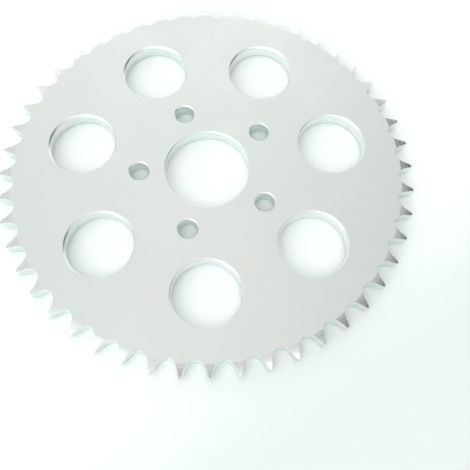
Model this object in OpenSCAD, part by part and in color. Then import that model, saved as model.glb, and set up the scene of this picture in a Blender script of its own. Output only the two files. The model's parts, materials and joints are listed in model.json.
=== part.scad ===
// Flat plate rear sprocket for a motorcycle: one piece of steel plate, with teeth cut round its rim,
// a centre bore, a circle of bolt holes and a ring of lightening holes.
// It lies flat: the hub side face is on z = 0, the bore's axis is +Z, and a tooth and a bolt hole are on +X.
// Millimetres and degrees. The tooth form is the roller chain standard's (ASME B29.1).

/* [Chain] */
// Chain pitch, from one roller's centre to the next
chain_pitch = 15.875; // [13.2:0.001:19.1]
// Diameter of the chain's rollers
roller_d = 10.16; // [8.4:0.01:12.2]
// Width between the chain's inner link plates
chain_inner_w = 9.525; // [7.9:0.005:12.7]

/* [Teeth] */
// Number of teeth
tooth_count = 48; // [40:1:60]

/* [Hub] */
// Diameter of the centre bore, which locates on the wheel hub
bore_d = 50.8; // [30:0.1:62]
// Diameter of the circle through the bolt holes' centres
bolt_circle_d = 82.55; // [68:0.05:100]
// Number of bolt holes
bolt_count = 5; // [3:1:6]
// Diameter of each bolt hole
bolt_hole_d = 11.5; // [8:0.1:14]

/* [Web] */
// Number of lightening holes
light_count = 7; // [5:1:8]
// Solid metal between the bottoms of the tooth gaps and the lightening holes
rim_land = 17.7; // [12:0.1:22]
// Solid metal between the bolt holes and the lightening holes
hub_land = 12; // [8:0.1:16]

/* [Edges] */
// Chamfer round both ends of the bore and of the bolt holes
hub_chamfer = 0.7; // [0.3:0.05:1]
// Chamfer round both ends of the lightening holes
light_chamfer = 1.1; // [0.3:0.05:1.8]

/* [Hidden] */
$fn = 96;
// Overlap of a cutting tool past the face that it cuts
over = 1;
// Each curve of a tooth gap is this much larger than the last, so that the two cross and don't only touch
blend = 0.0005;
// Angle and length by which one curve of a tooth gap runs on under the next
lap_angle = 1;
lap_l = 0.2;

// Sizes that the chain sets
half_step = 180 / tooth_count;
pitch_r = chain_pitch / 2 / sin(half_step);
outer_r = chain_pitch / 2 * (0.6 + 1 / tan(half_step));
plate_t = 0.93 * chain_inner_w - 0.15;

// Tooth form, round a roller whose centre is at [0, 0] on the pitch circle, with +Y outwards
seat_r = 0.5025 * roller_d + 0.038;
seat_angle = 35 + 60 / tooth_count;
work_angle = 18 - 56 / tooth_count;
top_angle = 17 - 64 / tooth_count;
work_r = 1.3025 * roller_d + 0.038;
top_r = roller_d * (0.8 * cos(work_angle) + 1.4 * cos(top_angle) - 1.3025) - 0.038;
flank_l = roller_d * (1.4 * sin(top_angle) - 0.8 * sin(work_angle));
root_r = pitch_r - seat_r;

function polar(r, a) = r * [cos(a), sin(a)];
work_c = polar(0.8 * roller_d, 180 - seat_angle);
top_c = polar(1.4 * roller_d, -half_step);
work_end = work_c + polar(work_r, work_angle - seat_angle);
flank_end = work_end + polar(flank_l, 90 + work_angle - seat_angle);
gap_h = outer_r - pitch_r + over;

// Relief on both sides of the teeth, turned to a curve so that the chain's link plates ride on easily
relief_h = 0.5 * chain_pitch;
relief_g = 0.125 * chain_pitch;
relief_r = 4 * chain_pitch;

// Lightening holes fill the web between the two lands
light_inner_r = bolt_circle_d / 2 + bolt_hole_d / 2 + hub_land;
light_outer_r = root_r - rim_land;
light_hole_d = light_outer_r - light_inner_r;
light_circle_r = (light_outer_r + light_inner_r) / 2;

// Half of one tooth gap, past the seating curve: the working curve, a straight flank and the topping curve
module half_gap() {
    slice = [for (a = [0, 0.5 * work_angle, work_angle + lap_angle]) polar(1.2 * work_r, a - seat_angle)];
    flank_lap = flank_end + polar(lap_l, 90 + work_angle - seat_angle);
    translate(work_c) intersection() {
        circle(r = work_r + blend);
        polygon([[0, 0], each slice]);
    }
    polygon([[0, work_end.y], work_end, flank_lap, [0, flank_lap.y]]);
    difference() {
        translate([0, flank_end.y]) square([chain_pitch / 2, gap_h - flank_end.y]);
        translate(top_c) circle(r = top_r + blend);
    }
}

// The cutter for one tooth gap, standing on the roller's axis
module gap_cutter() {
    translate([0, 0, -over]) linear_extrude(plate_t + 2 * over) {
        circle(r = seat_r + 2 * blend);
        half_gap();
        mirror([1, 0]) half_gap();
    }
}

// The turned blank: a plain disc with a curved relief round both of its edges
module blank() {
    chord = norm([relief_h, relief_g]);
    middle = [outer_r - relief_h / 2, plate_t - relief_g / 2];
    sag = sqrt(relief_r * relief_r - chord * chord / 4);
    relief_c = middle - sag * [relief_g, relief_h] / chord;
    rotate_extrude() {
        square([outer_r - relief_h - over, plate_t]);
        intersection() {
            translate([outer_r - relief_h - 2 * over, 0]) square([relief_h + 2 * over, plate_t]);
            translate(relief_c) circle(r = relief_r);
            translate([relief_c.x, plate_t - relief_c.y]) circle(r = relief_r);
        }
    }
}

// The cutter for one round hole, with a chamfer at both faces
module hole_cutter(d, chamfer) {
    translate([0, 0, -over]) cylinder(d = d, h = plate_t + 2 * over);
    for (side = [0, 1]) {
        translate([0, 0, side * plate_t]) mirror([0, 0, side])
            translate([0, 0, -over])
                cylinder(r1 = d / 2 + chamfer + over, r2 = d / 2, h = chamfer + over);
    }
}

module sprocket() {
    color([0.80, 0.81, 0.80]) difference() {
        blank();
        for (i = [0 : tooth_count - 1])
            rotate((i + 0.5) * 2 * half_step - 90) translate([0, pitch_r, 0]) gap_cutter();
        hole_cutter(bore_d, hub_chamfer);
        for (i = [0 : bolt_count - 1])
            rotate(i * 360 / bolt_count) translate([bolt_circle_d / 2, 0, 0])
                hole_cutter(bolt_hole_d, hub_chamfer);
        for (i = [0 : light_count - 1])
            rotate(180 + i * 360 / light_count) translate([light_circle_r, 0, 0])
                hole_cutter(light_hole_d, light_chamfer);
    }
}

sprocket();
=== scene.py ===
# %% [markdown]
# # A flat rear sprocket
#
# The object is one piece of steel plate: a disc that is turned, drilled and bored, has teeth cut round
# its rim, and is then zinc plated. It lies flat on a pale floor. The engineering model is loaded as a
# fixed frame, in metres, with the bore's axis on Z and the face that lies on the floor at z = 0. This
# script gives the plate its finished surface: the small rounds, chamfers and curved flanks that catch
# light, and the plated metal.

# %% Load the frame
import json
import math

import bmesh
import bpy
import numpy as np
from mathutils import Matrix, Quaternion, Vector


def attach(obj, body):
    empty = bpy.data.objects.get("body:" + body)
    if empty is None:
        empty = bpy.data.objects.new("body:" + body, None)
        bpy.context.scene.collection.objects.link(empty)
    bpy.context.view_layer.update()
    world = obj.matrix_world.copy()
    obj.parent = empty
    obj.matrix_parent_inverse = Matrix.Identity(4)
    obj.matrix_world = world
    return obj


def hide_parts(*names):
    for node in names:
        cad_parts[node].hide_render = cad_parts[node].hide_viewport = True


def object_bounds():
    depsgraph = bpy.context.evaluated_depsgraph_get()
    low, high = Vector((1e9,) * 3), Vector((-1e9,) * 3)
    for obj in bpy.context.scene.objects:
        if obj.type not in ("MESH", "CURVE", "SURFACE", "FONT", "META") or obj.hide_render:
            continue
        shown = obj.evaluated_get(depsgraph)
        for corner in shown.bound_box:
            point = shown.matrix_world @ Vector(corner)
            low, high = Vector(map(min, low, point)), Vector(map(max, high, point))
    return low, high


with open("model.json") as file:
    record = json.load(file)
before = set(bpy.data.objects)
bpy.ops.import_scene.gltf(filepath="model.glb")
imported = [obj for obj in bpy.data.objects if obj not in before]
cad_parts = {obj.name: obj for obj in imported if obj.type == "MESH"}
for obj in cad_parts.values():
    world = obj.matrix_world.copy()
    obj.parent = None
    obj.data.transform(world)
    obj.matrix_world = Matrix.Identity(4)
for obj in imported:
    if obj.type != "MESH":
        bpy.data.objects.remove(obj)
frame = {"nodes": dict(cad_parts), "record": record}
cad_low, cad_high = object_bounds()
record = frame["record"]
MM = 0.001


def mm(length):
    """A length in millimetres, rounded for a print."""
    return round(length / MM, 3)


print("CAD box in mm:", [mm(side) for side in cad_high - cad_low])

# %% [markdown]
# ## Sizes
#
# Nothing here is measured twice. The record says what the plate fastens to and what chain it carries, the
# box gives its diameter and thickness, and the open holes are read from the engineering mesh itself: the
# nearest vertex to a hole's axis lies on its wall, and the nearest one on the upper face is where its
# chamfer ends.

# %% Read the sizes from the frame
mounts = {mount["name"]: mount for mount in record["mounts"]}
plate_t = cad_high.z
outer_r = cad_high.x
teeth = mounts["chain_teeth"]["dims"]["count"]
pitch_r = mounts["chain_teeth"]["dims"]["pcd_mm"] / 2 * MM
bore_r = mounts["hub_bore"]["dims"]["r_mm"] * MM
bolt_r = mounts["hub_bolts"]["dims"]["hole_r_mm"] * MM
bolt_circle_r = mounts["hub_bolts"]["dims"]["pcd_mm"] / 2 * MM
bolt_count = mounts["hub_bolts"]["dims"]["count"]
hub_chamfer = (plate_t - mounts["hub_bore"]["dims"]["length_mm"] * MM) / 2

openings = [np.array(opening["box_m"]).mean(axis=0) for opening in record["physics"]["openings"]]
light_count = len(openings)
light_circle_r = math.hypot(*openings[0][:2])
plate_points = np.array([vertex.co for vertex in frame["nodes"]["sprocket"].data.vertices])
from_axis = np.hypot(*(plate_points[:, :2] - openings[0][:2]).T)
light_r = float(from_axis.min())
on_top = plate_points[:, 2] > plate_t - 0.01 * MM
light_chamfer = float(from_axis[on_top].min()) - light_r
print(teeth, "teeth, pitch radius", mm(pitch_r), "mm, plate", mm(plate_t), "mm")
print(light_count, "lightening holes, radius", mm(light_r), "mm, centres", mm(light_circle_r), "mm out")
print("chamfers:", mm(hub_chamfer), "mm at the hub and", mm(light_chamfer), "mm on the lightening holes")

# %% [markdown]
# ## One tooth
#
# A roller chain's tooth isn't a triangle. A roller sits in a round seat, rolls out along a hollow working
# curve, passes a short straight flank, and leaves over a convex topping curve. Each curve is an arc that
# the chain's standard gives from the roller's diameter and the tooth count, so the outline is worked out
# here from the same rules as the engineering model, with the sharp tip rounded off to a small nose.
#
# A drawing could be traced instead, but a formula stays exact at any zoom and says where each arc ends.
# The factors in the first cell are the standard's own.

# %% The arcs of the tooth form
half_step = math.pi / teeth
chain_pitch = 2 * pitch_r * math.sin(half_step)
roller_d = 0.64 * chain_pitch
seat_r = 0.5025 * roller_d + 0.038 * MM
seat_angle = math.radians(35 + 60 / teeth)
work_angle = math.radians(18 - 56 / teeth)
top_angle = math.radians(17 - 64 / teeth)
work_r = 1.3025 * roller_d + 0.038 * MM
top_r = roller_d * (0.8 * math.cos(work_angle) + 1.4 * math.cos(top_angle) - 1.3025) - 0.038 * MM
flank_l = roller_d * (1.4 * math.sin(top_angle) - 0.8 * math.sin(work_angle))
print("seat", mm(seat_r), "working", mm(work_r), "topping", mm(top_r), "mm in radius")


# %% Place the arcs round one gap
def polar(radius, angle):
    """A point at that distance and angle from the origin."""
    return radius * np.array([math.cos(angle), math.sin(angle)])


# The gap's own axes, seen from the tooth that stands on +X: across it to the tooth, and outwards.
gap_out = polar(1, -half_step)
gap_across = np.array([-gap_out[1], gap_out[0]])


def from_gap(point):
    """Turns a point or direction in the gap's axes into the tooth's."""
    return point[0] * gap_across + point[1] * gap_out


roller_c = pitch_r * gap_out
work_c = roller_c + from_gap(polar(0.8 * roller_d, math.pi - seat_angle))
top_c = roller_c + from_gap(polar(1.4 * roller_d, -half_step))
gap_turn = math.atan2(gap_across[1], gap_across[0])
flank_normal = from_gap(polar(1, math.pi + work_angle - seat_angle))
flank_way = from_gap(polar(1, math.pi / 2 + work_angle - seat_angle))
flank_start = work_c - work_r * flank_normal

# The nose touches both topping curves from inside, and its own top is the sprocket's outer radius.
reach = outer_r - top_c[0]
nose_r = (reach**2 + top_c[1] ** 2 - top_r**2) / (2 * (reach - top_r))
nose_c = np.array([outer_r - nose_r, 0])
nose_angle = math.atan2(nose_c[1] - top_c[1], nose_c[0] - top_c[0])
flank_angle = math.atan2(flank_normal[1], flank_normal[0])
print("nose", mm(nose_r), "mm in radius")


# %% The tooth's edge as one curve
def arc(centre, radius, start, end, side):
    """An arc as a function of 0 to 1, giving its point and the normal that leaves the metal."""
    def at(t):
        way = polar(1, start + t * (end - start))
        return centre + radius * way, side * way
    return at


def flank(t):
    """The straight flank, in the same form."""
    return flank_start + t * flank_l * flank_way, flank_normal


HOLLOW, ROUND = -1, 1
edge_arcs = [
    arc(roller_c, seat_r, gap_turn + math.pi / 2, gap_turn + seat_angle, HOLLOW),
    arc(work_c, work_r, gap_turn + seat_angle, gap_turn + seat_angle - work_angle, HOLLOW),
    flank,
    arc(top_c, top_r, flank_angle, nose_angle, ROUND),
    arc(nose_c, nose_r, nose_angle, 0, ROUND),
]
edge_steps = [9, 5, 2, 6, 5]


def edge_at(u):
    """The tooth's edge, from the bottom of the gap at 0 to the nose at 5."""
    piece = min(int(u), len(edge_arcs) - 1)
    return edge_arcs[piece](u - piece)


print(len(edge_arcs), "curves from the gap's bottom to the nose, in", sum(edge_steps), "steps")

# %% [markdown]
# ## The tooth's sides
#
# Both sides of a tooth are relieved: turned back in a shallow curve from a crisp line just above the
# roots to a narrow tip, so that the chain's plates slide on. The edges are broken with a small round,
# because no real edge is sharp, and a round catches a thin line of light. A Bevel modifier could make the
# round, but it leaves thin faces where the relief begins. So the mesh is built point by point: it follows
# the outline inwards in rings, and crosses the relief in rows of constant radius, as the lathe cut it.

# %% Relief and edge round
relief_h = 0.5 * chain_pitch
relief_g = 0.125 * chain_pitch
relief_r = 4 * chain_pitch
relief_in_r = outer_r - relief_h
edge_round = 0.22 * MM
lip_w = 0.35 * MM  # the flat strip that joins the tooth to the plate's face
ROUND_STEPS = 4
ROW_PARTS = [0, 0.07, 0.28, 0.5, 0.72, 0.93, 1]  # shares of a row's width, closer near its ends
# The zones, each with a finish of its own.
FACE, RELIEF, GAP_WALL, CHAMFER, BORED, DRILLED = range(6)

chord = math.hypot(relief_h, relief_g)
sag = math.sqrt(relief_r**2 - chord**2 / 4)
relief_middle = np.array([outer_r - relief_h / 2, -relief_g / 2])
relief_c = relief_middle - sag * np.array([relief_g, relief_h]) / chord


def relief_depth(radius):
    """How far the side lies below the plate's face at that radius."""
    if radius <= relief_in_r:
        return 0.0
    return -(relief_c[1] + math.sqrt(relief_r**2 - (radius - relief_c[0]) ** 2))


def inset(u, distance):
    """A point of the edge, moved into the metal."""
    point, normal = edge_at(u)
    return point - distance * normal


def relief_start():
    """Where the inner end of the edge's round crosses the relief's line, found by halving."""
    low, high = 0.0, 4.0
    for _ in range(50):
        middle = (low + high) / 2
        if np.hypot(*inset(middle, edge_round)) < relief_in_r:
            low = middle
        else:
            high = middle
    return high


def edge_places():
    """The places along half a tooth's edge where the mesh has a ring of points."""
    start = relief_start()
    places = [piece + step / steps for piece, steps in enumerate(edge_steps) for step in range(steps)]
    spacing = 0.4 / edge_steps[int(start)]  # a place nearer to the start than this makes way for it
    places = [u for u in places if abs(u - start) > spacing or u == int(u)] + [start, float(len(edge_arcs))]
    return sorted(places), start


places, start_place = edge_places()
print(len(places), "places on half a tooth's edge; the relief starts at", mm(relief_in_r), "mm")


# %% Build the mesh of one tooth
def tooth_mesh():
    """One tooth on +X, from gap to gap, open where the plate's flat faces will join it."""
    points, faces, zones = [], [], []

    def put(x, y, z):
        """Adds a point and gives its number."""
        points.append((x, y, z))
        return len(points) - 1

    def fill(corners, zone):
        """Adds a face and its zone."""
        faces.append(corners)
        zones.append(zone)

    tip = len(places) - 1
    first = places.index(start_place)
    along = [(u, 1) for u in places] + [(u, -1) for u in reversed(places[:-1])]
    last = len(along) - 1
    turns = [math.pi / 2 * k / ROUND_STEPS for k in range(ROUND_STEPS + 1)]
    rings = {}
    for face_side in (1, -1):
        def height(radius, drop=0.0):
            """The side's height at a radius, on the upper or the lower side of the plate."""
            top = plate_t / 2 - relief_depth(radius) - drop
            return plate_t / 2 + face_side * top

        # Points from the wall round the edge and onto the side, all along the outline.
        rings[face_side] = grid = []
        for u, half in along:
            column = []
            for turn in turns:
                x, y = inset(u, edge_round * (1 - math.cos(turn)))
                column.append(put(x, y * half, height(math.hypot(x, y), edge_round * (1 - math.sin(turn)))))
            grid.append(column)
        for i in range(last):
            for k in range(ROUND_STEPS):
                zone = GAP_WALL if k < ROUND_STEPS / 2 else RELIEF
                fill([grid[i][k], grid[i + 1][k], grid[i + 1][k + 1], grid[i][k + 1]], zone)

        # Rows of constant radius across the relief, up to the tip.
        rows = []
        for i in range(first, tip):
            left = points[grid[i][-1]]
            radius = math.hypot(left[0], left[1])
            wide = math.atan2(left[1], left[0])
            row = [grid[i][-1]]
            for part in ROW_PARTS[1:-1]:
                x, y = polar(radius, wide * (1 - 2 * part))
                row.append(put(x, y, left[2]))
            rows.append(row + [grid[last - i][-1]])
        for lower, upper in zip(rows, rows[1:]):
            for k in range(len(ROW_PARTS) - 1):
                fill([lower[k], lower[k + 1], upper[k + 1], upper[k]], RELIEF)
        for k in range(len(ROW_PARTS) - 1):
            fill([rows[-1][k], rows[-1][k + 1], grid[tip][-1]], RELIEF)

        # The narrow flat lip inside the relief's line, which the plate's flat face will join.
        for half, row in ((1, rows[0]), (-1, rows[0][::-1])):
            lip = []
            for u in places[:first]:
                x, y = inset(u, edge_round + lip_w)
                lip.append(put(x, y * half, height(0)))
            lip.append(row[1])
            for i in range(first):
                a, b = (i, i + 1) if half == 1 else (last - i, last - i - 1)
                fill([grid[a][-1], grid[b][-1], lip[i + 1], lip[i]], FACE)

    # The wall of the gap, between the two sides.
    upper, lower = rings[1], rings[-1]
    for i in range(last):
        fill([upper[i][0], lower[i][0], lower[i + 1][0], upper[i + 1][0]], GAP_WALL)

    mesh = bpy.data.meshes.new("tooth")
    mesh.from_pydata(points, [], faces)
    mesh.attributes.new("zone", "INT", "FACE").data.foreach_set("value", zones)
    return mesh


tooth = tooth_mesh()
print("one tooth:", len(tooth.vertices), "points and", len(tooth.polygons), "faces")

# %% [markdown]
# ## The plate as geometry nodes
#
# Everything else about the plate follows a rule: the same tooth all the way round, three kinds of round
# hole on their circles, and two flat faces that fill what is left. Each hole could be cut with a Boolean,
# but Booleans leave thin triangles, and have to be done again after every change. A tree of geometry
# nodes takes the sizes as named inputs, so another tooth count or bolt circle is a change of one number.
#
# The helpers place a node and give each input a value or a link, so that a tree reads as a list of steps.

# %% Helpers that place nodes
GEOMETRY, INT = "NodeSocketGeometry", "NodeSocketInt"
LENGTH = FLOAT = "NodeSocketFloat"


def add(tree, kind, inputs=None, **options):
    """Places a node, sets its options, and gives each named input a value or a link."""
    node = tree.nodes.new(kind)
    for name, value in options.items():
        setattr(node, name, value)
    for name, value in (inputs or {}).items():
        for one in value if isinstance(value, list) else [value]:
            if isinstance(one, bpy.types.NodeSocket):
                tree.links.new(one, node.inputs[name])
            else:
                node.inputs[name].default_value = one
    return node


def calc(tree, operation, a, b=0.0, c=0.0):
    """One step of arithmetic on numbers or sockets."""
    return add(tree, "ShaderNodeMath", {0: a, 1: b, 2: c}, operation=operation).outputs[0]


def vector(tree, x=0.0, y=0.0, z=0.0):
    """Three numbers or sockets as one vector."""
    return add(tree, "ShaderNodeCombineXYZ", {"X": x, "Y": y, "Z": z}).outputs[0]


def new_group(name, kind, inputs, outputs):
    """A node group with named sockets. Each is (name, type, value), and an output has no value."""
    tree = bpy.data.node_groups.new(name, kind)
    for label, socket_type, value in inputs:
        socket = tree.interface.new_socket(label, in_out="INPUT", socket_type=socket_type)
        if value is not None:
            socket.default_value = value
    for label, socket_type in outputs:
        tree.interface.new_socket(label, in_out="OUTPUT", socket_type=socket_type)
    return tree, tree.nodes.new("NodeGroupInput").outputs, tree.nodes.new("NodeGroupOutput").inputs


def use_group(tree, group, **inputs):
    """Places a node group and fills its inputs. An underscore in a name stands for a space."""
    kind = "GeometryNodeGroup" if group.bl_idname == "GeometryNodeTree" else "ShaderNodeGroup"
    named = {name.replace("_", " "): value for name, value in inputs.items()}
    return add(tree, kind, named, node_tree=group)


def describe(group):
    """Prints what a finished group takes and gives."""
    sockets = {"INPUT": [], "OUTPUT": []}
    for item in group.interface.items_tree:
        sockets[item.in_out].append(item.name)
    print(group.name, "takes", ", ".join(sockets["INPUT"]), "and gives", ", ".join(sockets["OUTPUT"]))


# %% Helpers for steps that come back in every tree
TOUCHING = 0.002 * MM  # points nearer to each other than this are one point


def moved(tree, geometry, **offset):
    """The geometry, moved along the named axes."""
    inputs = {"Geometry": geometry, "Translation": vector(tree, **offset)}
    return add(tree, "GeometryNodeTransform", inputs).outputs[0]


def turned(tree, geometry, angle):
    """The geometry, turned round the Z axis."""
    inputs = {"Geometry": geometry, "Rotation": vector(tree, z=angle)}
    return add(tree, "GeometryNodeTransform", inputs).outputs[0]


def joined(tree, *parts):
    """All the parts as one geometry."""
    return add(tree, "GeometryNodeJoinGeometry", {"Geometry": list(parts)}).outputs[0]


def merged(tree, geometry, distance):
    """The geometry, with points that touch made one."""
    inputs = {"Geometry": geometry, "Distance": distance}
    return add(tree, "GeometryNodeMergeByDistance", inputs).outputs[0]


def realized(tree, geometry):
    """The geometry, with its instances turned into real points and faces."""
    return add(tree, "GeometryNodeRealizeInstances", {"Geometry": geometry}).outputs[0]


def filled(tree, mesh, chosen=True):
    """Flat triangles at z = 0 between the chosen edges, with the rings inside them left open."""
    curve = add(tree, "GeometryNodeMeshToCurve", {"Mesh": mesh, "Selection": chosen}).outputs[0]
    return add(tree, "GeometryNodeFillCurve", {"Curve": curve}, mode="TRIANGLES").outputs[0]


def shaded_flat(tree, geometry):
    """The geometry, with every face shaded as a plane."""
    inputs = {"Geometry": geometry, "Shade Smooth": False}
    return add(tree, "GeometryNodeSetShadeSmooth", inputs).outputs[0]


def in_zone(tree, geometry, zone):
    """The geometry, with each face marked with its zone. The finish is chosen by that number."""
    inputs = {"Geometry": geometry, "Name": "zone", "Value": zone}
    options = {"data_type": "INT", "domain": "FACE"}
    return add(tree, "GeometryNodeStoreNamedAttribute", inputs, **options).outputs[0]


# %% [markdown]
# ### A round hole
#
# On the real plate a hole is drilled or bored through, and a countersink breaks the edge at both faces.
# Here it is a short profile carried round a circle: the flat lip at each face, the two chamfers and the
# plain wall, with a tiny round at each corner. A cylinder would have no chamfer, and a bevel on the whole
# plate would round the teeth too. Fillet Curve makes the rounds, and Curve to Mesh carries the profile
# round.

# %% Node group for the lining of a round hole
LIP_SLOPE = 0.95  # a face that points up or down by more than this is the lip
WALL_SLOPE = 0.3  # and one that does by less than this is the wall
ROUND_POINTS = 3


def hole_group():
    """A hole's lining, standing on z = 0 round the Z axis."""
    tree, size, out = new_group(
        "hole_lining", "GeometryNodeTree",
        [("Radius", LENGTH, 0.01), ("Thickness", LENGTH, 0.01), ("Chamfer", LENGTH, 0.001),
         ("Corner", LENGTH, 0.0001), ("Lip", LENGTH, 0.0005), ("Segments", INT, 64),
         ("Wall zone", INT, BORED)],
        [("Lining", GEOMETRY)])
    outside = calc(tree, "ADD", size["Chamfer"], size["Lip"])
    below = calc(tree, "MULTIPLY", size["Thickness"], -1)
    corners = [
        (outside, below),
        (size["Chamfer"], below),
        (0.0, calc(tree, "ADD", below, size["Chamfer"])),
        (0.0, calc(tree, "MULTIPLY", size["Chamfer"], -1)),
        (size["Chamfer"], 0.0),
        (outside, 0.0),
    ]
    number = add(tree, "GeometryNodeInputIndex").outputs[0]
    switch = add(tree, "GeometryNodeIndexSwitch", {"Index": number}, data_type="VECTOR")
    while len(switch.index_switch_items) < len(corners):
        switch.index_switch_items.new()
    for place, (x, y) in enumerate(corners):
        tree.links.new(vector(tree, x, y), switch.inputs[str(place)])
    line = add(tree, "GeometryNodeMeshLine", {"Count": len(corners)}).outputs[0]
    shaped = add(tree, "GeometryNodeSetPosition", {"Geometry": line, "Position": switch.outputs[0]})
    curve = add(tree, "GeometryNodeMeshToCurve", {"Mesh": shaped.outputs[0]}).outputs[0]
    profile = add(tree, "GeometryNodeFilletCurve", {"Curve": curve, "Radius": size["Corner"]}, mode="POLY")
    profile.inputs["Count"].default_value = ROUND_POINTS
    circle = add(tree, "GeometryNodeCurvePrimitiveCircle",
                 {"Resolution": size["Segments"], "Radius": size["Radius"]}).outputs[0]
    lining = add(tree, "GeometryNodeCurveToMesh", {"Curve": circle, "Profile Curve": profile.outputs[0]})

    # A lip keeps 0, which is the flat face's zone. A chamfer adds its own number, and a wall the rest.
    facing_way = add(tree, "ShaderNodeSeparateXYZ", {0: add(tree, "GeometryNodeInputNormal").outputs[0]})
    slope = calc(tree, "ABSOLUTE", facing_way.outputs["Z"])
    past_chamfer = calc(tree, "SUBTRACT", size["Wall zone"], CHAMFER)
    wall_part = calc(tree, "MULTIPLY", calc(tree, "LESS_THAN", slope, WALL_SLOPE), past_chamfer)
    zone = calc(tree, "MULTIPLY_ADD", calc(tree, "LESS_THAN", slope, LIP_SLOPE), CHAMFER, wall_part)
    tree.links.new(in_zone(tree, lining.outputs[0], zone), out["Lining"])
    return tree


hole_lining = hole_group()
describe(hole_lining)

# %% [markdown]
# ### Copies round a circle
#
# A dividing head turns the real plate by equal steps, and cuts the same tooth or hole at each. The tree
# does the same. Its points all sit on the axis: the shape is first moved out to its circle, and each copy
# is turned by its own number's share of a turn. An Array modifier round an empty would need a second
# object.

# %% Node group for copies round the bore
def ring_group():
    """Copies of a shape, evenly spaced on a circle round the bore."""
    tree, size, out = new_group(
        "copies_round_the_bore", "GeometryNodeTree",
        [("Shape", GEOMETRY, None), ("Count", INT, 5), ("Circle radius", LENGTH, 0.0),
         ("First angle", FLOAT, 0.0)],
        [("Copies", GEOMETRY)])
    shape = moved(tree, size["Shape"], x=size["Circle radius"])
    share = calc(tree, "DIVIDE", 2 * math.pi, size["Count"])
    number = add(tree, "GeometryNodeInputIndex").outputs[0]
    turn = vector(tree, z=calc(tree, "MULTIPLY_ADD", number, share, size["First angle"]))
    spots = add(tree, "GeometryNodePoints", {"Count": size["Count"]}).outputs[0]
    copies = add(tree, "GeometryNodeInstanceOnPoints",
                 {"Points": spots, "Instance": shape, "Rotation": turn})
    tree.links.new(copies.outputs[0], out["Copies"])
    return tree


copies_round_the_bore = ring_group()
describe(copies_round_the_bore)

# %% [markdown]
# ### The flat faces
#
# Between the teeth and the holes the plate is flat, as it came from the mill. In the mesh, the rings of
# points round the teeth and the holes are open edges there, the ones with a single face beside them. A
# grid would have to be cut to fit them. Fill Curve closes all of them at once, and leaves the holes open.
# A stamp is a set of edges with no face, so it is filled round in the same way.

# %% Node group for a flat face
LEVEL = 0.01 * MM  # an edge nearer to the face's height than this lies in the face


def face_group():
    """The flat face at a height that closes the mesh's open edges there."""
    tree, size, out = new_group(
        "flat_face", "GeometryNodeTree", [("Mesh", GEOMETRY, None), ("Height", LENGTH, 0.0)],
        [("Face", GEOMETRY)])
    place = add(tree, "ShaderNodeSeparateXYZ", {0: add(tree, "GeometryNodeInputPosition").outputs[0]})
    off = calc(tree, "ABSOLUTE", calc(tree, "SUBTRACT", place.outputs["Z"], size["Height"]))
    level = calc(tree, "LESS_THAN", off, LEVEL)
    faces_beside = add(tree, "GeometryNodeInputMeshEdgeNeighbors").outputs[0]
    is_open = calc(tree, "LESS_THAN", faces_beside, 1.5)
    rim = calc(tree, "MULTIPLY", level, is_open)
    lifted = moved(tree, filled(tree, size["Mesh"], rim), z=size["Height"])
    tree.links.new(in_zone(tree, shaded_flat(tree, lifted), FACE), out["Face"])
    return tree


flat_face = face_group()
describe(flat_face)

# %% [markdown]
# ### The stamp
#
# A sprocket is stamped with its number of teeth, which tells one from another on a shelf. It is a plain
# number and very shallow. A bump could show it, but a bump has no edge of its own, so it is real
# geometry: String to Curves draws it, its outline is pressed down for the walls, and filled for the
# floor.

# %% Node group for the stamped number
LETTER_SPACING = 1.1
CURVE_STEPS = 5


def stamp_group():
    """A number with its top towards the rim: its outline in the face, and the recess below that."""
    tree, size, out = new_group(
        "stamped_number", "GeometryNodeTree",
        [("Number", INT, 48), ("Height", LENGTH, 0.0), ("Depth", LENGTH, 0.0001), ("Size", LENGTH, 0.008),
         ("Distance", LENGTH, 0.1), ("Angle", FLOAT, 0.0)],
        [("Outline", GEOMETRY), ("Recess", GEOMETRY)])
    words = add(tree, "FunctionNodeValueToString", {"Value": size["Number"]}, data_type="INT").outputs[0]
    letters = add(tree, "GeometryNodeStringToCurves",
                  {"String": words, "Size": size["Size"], "Character Spacing": LETTER_SPACING},
                  align_x="CENTER", align_y="MIDDLE")
    letters.font = bpy.data.fonts.load("<builtin>")
    drawn = add(tree, "GeometryNodeSetSplineResolution",
                {"Geometry": realized(tree, letters.outputs[0]), "Resolution": CURVE_STEPS}).outputs[0]
    lines = add(tree, "GeometryNodeCurveToMesh", {"Curve": drawn}).outputs[0]
    placed = moved(tree, turned(tree, lines, -math.pi / 2), x=size["Distance"], z=size["Height"])
    outline = merged(tree, turned(tree, placed, size["Angle"]), TOUCHING / 2)

    down = calc(tree, "MULTIPLY", size["Depth"], -1)
    walls = add(tree, "GeometryNodeExtrudeMesh",
                {"Mesh": outline, "Offset": vector(tree, z=down)}, mode="EDGES")
    bottom = moved(tree, filled(tree, outline), z=calc(tree, "ADD", size["Height"], down))
    recess = shaded_flat(tree, joined(tree, walls.outputs[0], bottom))
    tree.links.new(outline, out["Outline"])
    tree.links.new(in_zone(tree, recess, FACE), out["Recess"])
    return tree


stamped_number = stamp_group()
describe(stamped_number)

# %% [markdown]
# ### The whole plate
#
# The tree joins the copies, closes the two faces, and merges the rings that lie on each other. It ends in
# Realize Instances and one Set Material for each zone, because each zone had its own last tool. The zones
# could be separate objects, but then their edges would not be welded and the plate would not be one
# solid.

# %% The sprocket's tree
BORE_SEGMENTS, BOLT_SEGMENTS, LIGHT_SEGMENTS = 144, 56, 112


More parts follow.
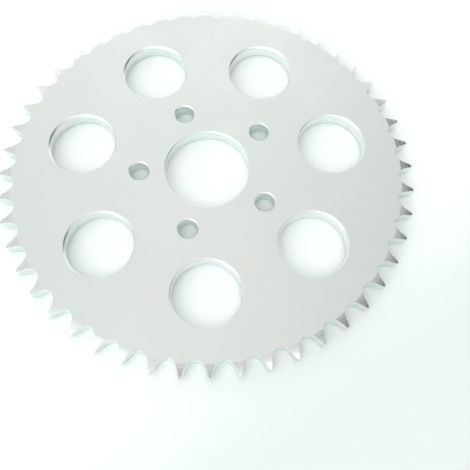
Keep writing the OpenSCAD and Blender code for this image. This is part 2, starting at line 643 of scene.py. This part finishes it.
def sprocket_group(materials):
    """The whole plate from one tooth, with the finish of each zone."""
    tree, size, out = new_group(
        "sprocket_plate", "GeometryNodeTree",
        [("Tooth", GEOMETRY, None), ("Teeth", INT, 48), ("Thickness", LENGTH, 0.009),
         ("Bore radius", LENGTH, 0.025), ("Bolt hole radius", LENGTH, 0.006), ("Bolt holes", INT, 5),
         ("Bolt circle radius", LENGTH, 0.041), ("Lightening hole radius", LENGTH, 0.02),
         ("Lightening holes", INT, 7), ("Lightening circle radius", LENGTH, 0.079),
         ("Hub chamfer", LENGTH, 0.0007), ("Lightening hole chamfer", LENGTH, 0.001),
         ("Corner", LENGTH, 0.0001), ("Lip", LENGTH, 0.0004),
         ("Stamp size", LENGTH, 0.008), ("Stamp depth", LENGTH, 0.0001), ("Stamp distance", LENGTH, 0.1)],
        [("Plate", GEOMETRY)])

    def ring(shape, **places):
        return use_group(tree, copies_round_the_bore, Shape=shape, **places).outputs[0]

    def hole(radius, chamfer, segments, wall_zone):
        return use_group(tree, hole_lining, Radius=radius, Thickness=size["Thickness"], Chamfer=chamfer,
                         Corner=size["Corner"], Lip=size["Lip"], Segments=segments,
                         Wall_zone=wall_zone).outputs[0]

    hub_edge, light_edge = size["Hub chamfer"], size["Lightening hole chamfer"]
    bore = hole(size["Bore radius"], hub_edge, BORE_SEGMENTS, BORED)
    bolt_hole = hole(size["Bolt hole radius"], hub_edge, BOLT_SEGMENTS, DRILLED)
    light_hole = hole(size["Lightening hole radius"], light_edge, LIGHT_SEGMENTS, BORED)
    stamp = use_group(tree, stamped_number, Number=size["Teeth"], Height=size["Thickness"],
                      Depth=size["Stamp depth"], Size=size["Stamp size"], Distance=size["Stamp distance"],
                      Angle=calc(tree, "DIVIDE", 2 * math.pi, size["Lightening holes"]))
    rows = joined(
        tree,
        ring(size["Tooth"], Count=size["Teeth"], Circle_radius=0.0),
        ring(bore, Count=1, Circle_radius=0.0),
        ring(bolt_hole, Count=size["Bolt holes"], Circle_radius=size["Bolt circle radius"]),
        ring(light_hole, Count=size["Lightening holes"], Circle_radius=size["Lightening circle radius"],
             First_angle=math.pi),
        stamp.outputs["Outline"])
    open_plate = merged(tree, realized(tree, rows), TOUCHING)
    upper = use_group(tree, flat_face, Mesh=open_plate, Height=size["Thickness"]).outputs[0]
    lower = use_group(tree, flat_face, Mesh=open_plate, Height=0.0).outputs[0]
    whole = merged(tree, joined(tree, open_plate, upper, lower, stamp.outputs["Recess"]), TOUCHING)

    finished = realized(tree, whole)
    zone = add(tree, "GeometryNodeInputNamedAttribute", {"Name": "zone"}, data_type="INT")
    for number, material in enumerate(materials):
        chosen = calc(tree, "COMPARE", zone.outputs["Attribute"], float(number), 0.5)
        finished = add(tree, "GeometryNodeSetMaterial",
                       {"Geometry": finished, "Selection": chosen, "Material": material}).outputs[0]
    tree.links.new(finished, out["Plate"])
    return tree


# %% [markdown]
# ## The plated metal
#
# Bright zinc is a thin skin that copies the surface below it, so each zone shows the last tool that
# touched it. The flat faces came from rolled and ground plate and are an even satin. The relief was
# turned, so it has fine rings round the bore. The gaps were hobbed, and their marks run across the rim.
# The holes were drilled and bored, and their marks run round the hole. One flat grey would hide all of
# that. The gaps, chamfers and hole walls are also given a lighter, bluer zinc than the faces: that is
# painted light, which brightens the walls.
#
# Five shader node groups hold the effects, and each material sets their strength. All of them read the
# plate's own coordinates in metres, so a size in a group is a real size. A picture of scratched metal
# would do for one view, but it would blur close up and show its seams.

# %% Shader helpers
VECTOR, COLOUR = "NodeSocketVector", "NodeSocketColor"


def shader_group(name, inputs, outputs):
    """A shader node group with named sockets."""
    return new_group(name, "ShaderNodeTree", inputs, outputs)


def scaled(tree, place, x, y, z):
    """The place, stretched by a factor along each axis."""
    factors = vector(tree, x, y, z)
    return add(tree, "ShaderNodeVectorMath", {0: place, 1: factors}, operation="MULTIPLY").outputs[0]


def noise(tree, place, scale, detail=2.0, roughness=0.5):
    """A smooth random value from 0 to 1."""
    inputs = {"Vector": place, "Scale": scale, "Detail": detail, "Roughness": roughness}
    return add(tree, "ShaderNodeTexNoise", inputs).outputs["Fac"]


def spread(tree, value, low, high, to_low=0.0, to_high=1.0):
    """Maps low..high to to_low..to_high, smoothly and with both ends held."""
    inputs = {"Value": value, "From Min": low, "From Max": high, "To Min": to_low, "To Max": to_high}
    return add(tree, "ShaderNodeMapRange", inputs, interpolation_type="SMOOTHSTEP").outputs["Result"]


# Noise keeps to the middle of its range, so this part of it is what gets stretched to the whole.
NOISE_LOW, NOISE_HIGH = 0.3, 0.7

# %% [markdown]
# ### Satin grain
#
# The grain is a very fine, even roughness that the acid bath leaves before plating. Two sizes of noise
# are added, because one size alone looks like orange peel. The cloud is far larger: it is the slow change
# in gloss that the plating current leaves over a big plate.

# %% Shader group for the satin grain
COARSER = 0.23  # the coarse noise's scale, as a share of the fine one's
COARSE_SHARE = 0.6


def grain_group():
    """A fine grain for the bump, and a slow cloud for the gloss."""
    tree, size, out = shader_group(
        "satin_grain",
        [("Place", VECTOR, None), ("Grain size", FLOAT, 0.0004), ("Cloud size", FLOAT, 0.04)],
        [("Grain", FLOAT), ("Cloud", FLOAT)])
    fine = calc(tree, "DIVIDE", 1.0, size["Grain size"])
    small = noise(tree, size["Place"], fine, 2.0, 0.6)
    coarse = noise(tree, size["Place"], calc(tree, "MULTIPLY", fine, COARSER), 2.0, 0.55)
    small_part = calc(tree, "MULTIPLY", small, 1 - COARSE_SHARE)
    cloud = noise(tree, size["Place"], calc(tree, "DIVIDE", 1.0, size["Cloud size"]), 3.0, 0.5)
    tree.links.new(calc(tree, "MULTIPLY_ADD", coarse, COARSE_SHARE, small_part), out["Grain"])
    tree.links.new(spread(tree, cloud, NOISE_LOW, NOISE_HIGH), out["Cloud"])
    return tree


satin_grain = grain_group()
describe(satin_grain)

# %% [markdown]
# ### Turned lines
#
# A lathe tool leaves rings that never leave their radius. Noise is squeezed along the radius and
# stretched over the plate, so a ring changes slowly as it goes round, which a plain wave would not. The
# radius is measured from the Z axis, which is the axis of the bore.

# %% Shader group for turned lines
CHANGES_PER_METRE = 14.0


def turned_group():
    """Fine rings round the bore."""
    tree, size, out = shader_group(
        "turned_lines", [("Place", VECTOR, None), ("Spacing", FLOAT, 0.00025)], [("Lines", FLOAT)])
    place = add(tree, "ShaderNodeSeparateXYZ", {0: size["Place"]}).outputs
    flat = vector(tree, place["X"], place["Y"])
    radius = add(tree, "ShaderNodeVectorMath", {0: flat}, operation="LENGTH").outputs["Value"]
    spot = vector(tree, calc(tree, "DIVIDE", radius, size["Spacing"]),
                  calc(tree, "MULTIPLY", place["X"], CHANGES_PER_METRE),
                  calc(tree, "MULTIPLY", place["Y"], CHANGES_PER_METRE))
    tree.links.new(noise(tree, spot, 1.0, 2.0, 0.6), out["Lines"])
    return tree


turned_lines = turned_group()
describe(turned_lines)

# %% [markdown]
# ### Cutting marks along a wall
#
# The hob and the boring tool both cut walls that stand on the flat faces. The hob's marks are steps along
# the rim with long strokes in Z, and the boring tool's are rings stacked in Z. The same noise serves for
# both: only its stretch differs, so one group does the work of two.

# %% Shader group for cutting marks
def cutting_group():
    """Marks that are stretched by a different amount along Z."""
    tree, size, out = shader_group(
        "cutting_marks",
        [("Place", VECTOR, None), ("Across", FLOAT, 4000.0), ("Along Z", FLOAT, 300.0)], [("Marks", FLOAT)])
    spot = scaled(tree, size["Place"], size["Across"], size["Across"], size["Along Z"])
    tree.links.new(noise(tree, spot, 1.0, 3.0, 0.6), out["Marks"])
    return tree


cutting_marks = cutting_group()
describe(cutting_marks)

# %% [markdown]
# ### The plating's tint
#
# Clear chromate is a film so thin that it colours the light: slightly blue where it is thicker, slightly
# warm where it is thinner. The tint wanders over a few centimetres, and is far too weak to read as a
# pattern. The colour ramp gives the film's colour, which multiplies the metal's own.

# %% Shader group for the plating's tint
FILM = [(0.3, (1.02, 0.99, 0.985)), (0.46, (1.0, 1.0, 1.0)), (0.58, (0.985, 1.005, 0.995)),
        (0.72, (0.975, 1.0, 1.02))]
FILM_SCALE, BLOTCH_SCALE, BLOTCH_SHARE = 38.0, 95.0, 0.35


def tint_group():
    """The metal's colour with the film's tint over it."""
    tree, size, out = shader_group(
        "plating_tint",
        [("Place", VECTOR, None), ("Metal", COLOUR, (0.78, 0.79, 0.78, 1.0)), ("Amount", FLOAT, 1.0)],
        [("Color", COLOUR)])
    thin = noise(tree, size["Place"], FILM_SCALE, 2.0, 0.5)
    blotch = noise(tree, scaled(tree, size["Place"], 1.0, 1.0, 3.0), BLOTCH_SCALE, 3.0, 0.6)
    thin_part = calc(tree, "MULTIPLY", thin, 1 - BLOTCH_SHARE)
    thickness = calc(tree, "MULTIPLY_ADD", blotch, BLOTCH_SHARE, thin_part)
    film = add(tree, "ShaderNodeValToRGB", {"Fac": thickness})
    stops = film.color_ramp.elements
    while len(stops) < len(FILM):
        stops.new(0.5)
    for stop, (position, colour) in zip(stops, FILM):
        stop.position = position
        stop.color = (*colour, 1.0)
    tinted = add(tree, "ShaderNodeMix", {0: size["Amount"], 6: size["Metal"], 7: film.outputs["Color"]},
                 data_type="RGBA", blend_type="MULTIPLY")
    tree.links.new(tinted.outputs[2], out["Color"])
    return tree


plating_tint = tint_group()
describe(plating_tint)

# %% [markdown]
# ### Handling marks
#
# A plate that was packed, posted and picked up has faint rub marks. They are thin, nearly straight and
# run in several directions, so stretched noises are cut off near the top, each turned its own way. A
# patch of ordinary noise lets each direction show only here and there.

# %% Shader group for handling marks
RUB_ANGLES = (0.4, 1.55, 2.9)
PATCH_SCALES = (60.0, 71.0, 82.0)
ALONG, ACROSS = 60.0, 2600.0
RUB_CUT, PATCH_CUT = (0.66, 0.74), (0.6, 0.72)  # where the noise starts to show, and where it is full


def handling_group():
    """Thin rub marks, from 0 to 1."""
    tree, size, out = shader_group(
        "handling_marks", [("Place", VECTOR, None), ("Density", FLOAT, 0.5)], [("Marks", FLOAT)])
    most = 0.0
    more = calc(tree, "MULTIPLY", size["Density"], 0.2)
    for angle, patch_scale in zip(RUB_ANGLES, PATCH_SCALES):
        rotated = add(tree, "ShaderNodeVectorRotate",
                      {"Vector": size["Place"], "Axis": (0.0, 0.0, 1.0), "Angle": angle}).outputs[0]
        streaks = noise(tree, scaled(tree, rotated, ACROSS, ALONG, 1.0), 1.0, 1.0, 0.4)
        patchy = noise(tree, rotated, patch_scale, 2.0, 0.5)
        line = spread(tree, streaks, *RUB_CUT)
        patch = spread(tree, calc(tree, "ADD", patchy, more), *PATCH_CUT)
        most = calc(tree, "MAXIMUM", most, calc(tree, "MULTIPLY", line, patch))
    tree.links.new(most, out["Marks"])
    return tree


handling_marks = handling_group()
describe(handling_marks)

# %% [markdown]
# ### The six finishes
#
# Each finish is a metal Principled shader. The groups feed its colour, its roughness and the height of
# one Bump node, and everything that is the same all over is set on the shader itself. One material with a
# mask for each zone would also work, but six small ones are easier to read and to change.

# %% A plated finish
def plated(name, metal, gloss, height):
    """A plated metal. gloss and height give the roughness and the bump from the tree and the place."""
    material = bpy.data.materials.new(name)
    material.use_nodes = True
    tree = material.node_tree
    shader = tree.nodes["Principled BSDF"]
    shader.inputs["Metallic"].default_value = 1.0
    place = add(tree, "ShaderNodeTexCoord").outputs["Object"]
    colour = use_group(tree, plating_tint, Place=place, Metal=(*metal, 1.0), Amount=1.0).outputs["Color"]
    tree.links.new(colour, shader.inputs["Base Color"])
    tree.links.new(gloss(tree, place), shader.inputs["Roughness"])
    level, distance = height(tree, place)
    bump = add(tree, "ShaderNodeBump", {"Height": level, "Distance": distance, "Strength": 1.0})
    tree.links.new(bump.outputs["Normal"], shader.inputs["Normal"])
    return material


# %% The flat faces
def zinc_face():
    """Satin plate, a little glossier where it was rubbed."""
    cloud_size = 35 * MM
    rub_gloss = -0.08

    def gloss(tree, place):
        grain = use_group(tree, satin_grain, Place=place, Grain_size=0.5 * MM, Cloud_size=cloud_size)
        marks = use_group(tree, handling_marks, Place=place, Density=0.5).outputs["Marks"]
        cloudy = spread(tree, grain.outputs["Cloud"], 0.0, 1.0, 0.43, 0.49)
        return calc(tree, "MULTIPLY_ADD", marks, rub_gloss, cloudy)

    def height(tree, place):
        grain = use_group(tree, satin_grain, Place=place, Grain_size=0.35 * MM, Cloud_size=cloud_size)
        return grain.outputs["Grain"], 0.02 * MM

    return plated("zinc_face", (0.62, 0.646, 0.626), gloss, height)


# %% The relief of the teeth
def zinc_relief():
    """Turned metal, with rings round the bore."""
    def gloss(tree, place):
        lines = use_group(tree, turned_lines, Place=place, Spacing=0.4 * MM).outputs["Lines"]
        return spread(tree, lines, NOISE_LOW, NOISE_HIGH, 0.23, 0.3)

    def height(tree, place):
        lines = use_group(tree, turned_lines, Place=place, Spacing=0.22 * MM).outputs["Lines"]
        return lines, 0.0015 * MM

    return plated("zinc_relief", (0.64, 0.66, 0.65), gloss, height)


# %% The walls: tooth gaps, chamfers, and bored and drilled holes
def zinc_cut(name, metal, smooth, rough, gloss_stretch, bump_stretch, depth):
    """Cut metal, from smooth to rough. A stretch is the marks in a metre, across the wall and along Z."""
    def marks(tree, place, stretch):
        across, along_z = stretch
        return use_group(tree, cutting_marks, Place=place, Across=across, Along_Z=along_z).outputs["Marks"]

    def gloss(tree, place):
        return spread(tree, marks(tree, place, gloss_stretch), NOISE_LOW, NOISE_HIGH, smooth, rough)

    def height(tree, place):
        return marks(tree, place, bump_stretch), depth

    return plated(name, metal, gloss, height)


stacked = (120.0, 3500.0)
fine_rings = (100.0, 5500.0)
# The gaps, chamfers and hole walls get a lighter, bluer zinc than the faces. That is painted light, which
# brightens the walls as stronger light on them would.
zone_materials = [
    zinc_face(),
    zinc_relief(),
    zinc_cut("zinc_gap", (0.8, 0.85, 0.855), 0.3, 0.42, (2500.0, 300.0), (4500.0, 350.0), 0.03 * MM),
    zinc_cut("zinc_chamfer", (0.73, 0.755, 0.745), 0.26, 0.36, stacked, fine_rings, 0.015 * MM),
    zinc_cut("zinc_bored", (0.83, 0.87, 0.87), 0.2, 0.3, stacked, fine_rings, 0.015 * MM),
    zinc_cut("zinc_drilled", (0.78, 0.84, 0.83), 0.12, 0.3, stacked, (1500.0, 500.0), 0.4 * MM),
]
print("finishes:", [material.name for material in zone_materials])

# %% [markdown]
# ## Make the plate
#
# The tree is set on an object that holds one tooth. Its inputs are set before the modifier first runs,
# the result becomes a plain mesh, and the maker is removed. A live modifier would do for a picture, but
# the exported model has to hold real faces.

# %% Run the tree
sizes = {
    "Teeth": teeth, "Thickness": plate_t, "Bore radius": bore_r, "Bolt hole radius": bolt_r,
    "Bolt holes": bolt_count, "Bolt circle radius": bolt_circle_r, "Lightening hole radius": light_r,
    "Lightening holes": light_count, "Lightening circle radius": light_circle_r,
    "Hub chamfer": hub_chamfer, "Lightening hole chamfer": light_chamfer,
    "Corner": 0.2 * MM, "Lip": 0.4 * MM,
    "Stamp size": 8.5 * MM, "Stamp depth": 0.1 * MM, "Stamp distance": 100 * MM,
}
plate_tree = sprocket_group(zone_materials)
maker = bpy.data.objects.new("sprocket_maker", tooth)
bpy.context.scene.collection.objects.link(maker)
modifier = maker.modifiers.new("plate", "NODES")
modifier.node_group = plate_tree
sockets = {item.name: item.identifier for item in plate_tree.interface.items_tree if item.in_out == "INPUT"}
for name, value in sizes.items():
    modifier[sockets[name]] = value
plate_mesh = bpy.data.meshes.new_from_object(maker.evaluated_get(bpy.context.evaluated_depsgraph_get()))
bpy.data.objects.remove(maker)
print(len(plate_mesh.vertices), "points and", len(plate_mesh.polygons), "faces")

# %% [markdown]
# The filled faces and the copied linings don't agree on which side is out, so the normals are worked out
# once for the closed mesh. The tree also leaves one empty material slot in front of the six finishes.

# %% Close up the plate
def outward(mesh):
    """Turns every face outwards, and gives the count of edges without two faces, and the volume."""
    shell = bmesh.new()
    shell.from_mesh(mesh)
    bmesh.ops.recalc_face_normals(shell, faces=shell.faces)
    loose = sum(1 for edge in shell.edges if len(edge.link_faces) != 2)
    volume = shell.calc_volume()
    shell.to_mesh(mesh)
    shell.free()
    return loose, volume


def drop_empty_slot(mesh):
    """Removes the first material slot, and moves every face's number down by one."""
    numbers = np.zeros(len(mesh.polygons), dtype=np.int32)
    mesh.polygons.foreach_get("material_index", numbers)
    mesh.materials.pop(index=0)
    mesh.polygons.foreach_set("material_index", numbers - 1)


loose_edges, volume = outward(plate_mesh)
if plate_mesh.materials[0] is None:
    drop_empty_slot(plate_mesh)
plate = bpy.data.objects.new("sprocket_plate", plate_mesh)
bpy.context.scene.collection.objects.link(plate)
print("edges without two faces:", loose_edges, "volume in cubic mm:", round(volume / MM**3))
print("materials:", [material.name for material in plate_mesh.materials])

# %% [markdown]
# The new plate takes the engineering solid's place in the scene. It rides on the same body, so it moves as
# the part does, and the solid stays behind it for collision and weight.

# %% The plate stands for the engineering model
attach(plate, "root")
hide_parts("sprocket")

# %% [markdown]
# ## The camera
#
# The camera looks steeply down on the plate, from between its -X and -Y sides. It could be placed by its
# coordinates, but it is easier to change when it is given as a person would say it: what it looks at,
# from how far, at what angle round the plate and above the floor, and its tilt.

# %% Camera
aim = Vector((-14.6, -44.5, 8.7)) * MM
camera_distance = 342 * MM
camera_bearing = math.radians(-131.74)
camera_height = math.radians(67.85)
camera_roll = math.radians(2.73)
focal_length = 45.2  # Blender takes these two in mm
sensor_width = 36


def toward(bearing, height):
    """The unit direction at that bearing round Z and that height above the floor."""
    level = math.cos(height)
    return Vector((level * math.cos(bearing), level * math.sin(bearing), math.sin(height)))


lens = bpy.data.cameras.new("camera")
lens.lens = focal_length
lens.sensor_width = sensor_width
lens.clip_start = 0.01
camera = bpy.data.objects.new("camera", lens)
back = toward(camera_bearing, camera_height)
camera.location = aim + camera_distance * back
turn = back.to_track_quat("Z", "Y") @ Quaternion((0, 0, 1), camera_roll)
camera.rotation_euler = turn.to_euler()
bpy.context.scene.collection.objects.link(camera)
bpy.context.scene.camera = camera
print("camera at", [mm(part) for part in camera.location], "mm")

# %% [markdown]
# ## The floor
#
# A plain sheet of white card, far larger than the plate. It lies a hair below the plate, so that the two
# faces never share a plane. Past one side of the plate it has painted shade: its colour greys very slowly
# there, as a soft shadow would. A light from one side would grey it too, but would also spoil the even
# tone of the metal.

# %% Directions round the camera's line of sight
facing = camera_bearing + math.pi


def seen(across, height):
    """A direction from the camera: degrees to the right of straight ahead, and degrees above the floor."""
    return toward(facing - math.radians(across), math.radians(height))


print("the camera faces", round(math.degrees(facing), 1), "degrees round Z")

# %% Floor
card_white = (0.86, 0.92, 0.9, 1.0)
# The painted shade: the card greys to this colour between two distances along one way past the plate.
card_painted_shade = (0.71, 0.77, 0.745, 1.0)
card_width = 4.0
card_drop = 0.05 * MM
painted_shade_way = seen(142, 0)
painted_shade_from, painted_shade_to = 70 * MM, 160 * MM


def white_card():
    """A matt white card with painted shade: it greys a little past one side of the plate, along one way."""
    material = bpy.data.materials.new("white_card")
    material.use_nodes = True
    tree = material.node_tree
    shader = tree.nodes["Principled BSDF"]
    place = add(tree, "ShaderNodeTexCoord").outputs["Object"]
    along = add(tree, "ShaderNodeVectorMath", {0: place, 1: painted_shade_way}, operation="DOT_PRODUCT")
    # How far each point of the card lies into the painted shade.
    share = spread(tree, along.outputs["Value"], painted_shade_from, painted_shade_to)
    tone = add(tree, "ShaderNodeMix", {0: share, 6: card_white, 7: card_painted_shade}, data_type="RGBA")
    tree.links.new(tone.outputs[2], shader.inputs["Base Color"])
    shader.inputs["Roughness"].default_value = 0.6
    shader.inputs["Specular IOR Level"].default_value = 0.2
    return material


def floor_card():
    """A square sheet below the plate."""
    mesh = bpy.data.meshes.new("floor")
    half = card_width / 2
    corners = [(-half, -half), (half, -half), (half, half), (-half, half)]
    mesh.from_pydata([(x, y, -card_drop) for x, y in corners], [], [(0, 1, 2, 3)])
    mesh.materials.append(white_card())
    card = bpy.data.objects.new("floor", mesh)
    bpy.context.scene.collection.objects.link(card)
    return card


floor = floor_card()
print("floor:", card_width, "m wide, greying from", mm(painted_shade_from), "to", mm(painted_shade_to), "mm out")

# %% [markdown]
# ## The light
#
# Plated metal has no colour of its own to show: it shows the room. The room is a white tent, as a studio
# sets up round a shiny part, and all of the light comes from it. A world of one colour would make every
# tooth the same, so soft patches lie on the tent: a window overhead gives the teeth nearest to the camera
# their flash, a dark spot below the window stands for the camera, one side is dark and gives the teeth on
# the right their shade, and an opening behind the camera to the left lays crescents of shade inside the
# holes. Lamps could do that, but a small lamp leaves hard highlights on metal, and each adds a shadow on
# the floor.

# %% World
tent_level = 1.18
# Each patch is its direction, the angles in degrees at which it has faded out and is full, and its level.
# A later patch lies over an earlier one.
patches = {
    "window overhead": (seen(-185, 72), 29, 18, 5.6),
    "shade below the window": (seen(-173, 75), 24, 12, 0.8),
    "camera": (seen(-173, 59), 13, 6, 0.0),
    "bright strip behind the plate": (seen(3, 24), 54, 30, 1.6),
    "dark side on the right": (seen(75, 45), 42, 27, 0.12),
    "quieter wall on the left": (seen(-69, 47), 38, 10, 1.0),
    "quieter wall low behind the camera to the right": (seen(134, 14), 44, 29, 0.98),
    "roof on the right": (seen(48, 62), 28, 5, 1.03),
    "opening behind the camera to the left": (seen(-135, 35), 32, 12, 2.3),
}


def grey(level):
    """A light with no colour."""
    return level, level, level, 1.0


def tent_world():
    """A pale sky with soft patches."""
    world = bpy.data.worlds.new("tent")
    bpy.context.scene.world = world
    world.use_nodes = True
    tree = world.node_tree
    way = add(tree, "ShaderNodeTexCoord").outputs["Generated"]
    sky = add(tree, "ShaderNodeRGB").outputs[0]
    sky.default_value = grey(tent_level)
    for name, (centre, faded, full, level) in patches.items():
        near = add(tree, "ShaderNodeVectorMath", {0: way, 1: centre}, operation="DOT_PRODUCT")
        edges = math.cos(math.radians(faded)), math.cos(math.radians(full))
        strength = spread(tree, near.outputs["Value"], *edges)
        layer = add(tree, "ShaderNodeMix", {0: strength, 6: sky, 7: grey(level)}, data_type="RGBA")
        layer.label = name
        sky = layer.outputs[2]
    tree.links.new(sky, tree.nodes["Background"].inputs["Color"])
    return world


tent_world()
print("tent:", tent_level, "with", ", ".join(patches))

# %% [markdown]
# The standard view shows each tone as it is lit, and lets the card go to pure white. The default view
# would roll the bright tones off and leave both the card and the metal grey.

# %% View
bpy.context.scene.view_settings.view_transform = "Standard"
print("view:", bpy.context.scene.view_settings.view_transform)
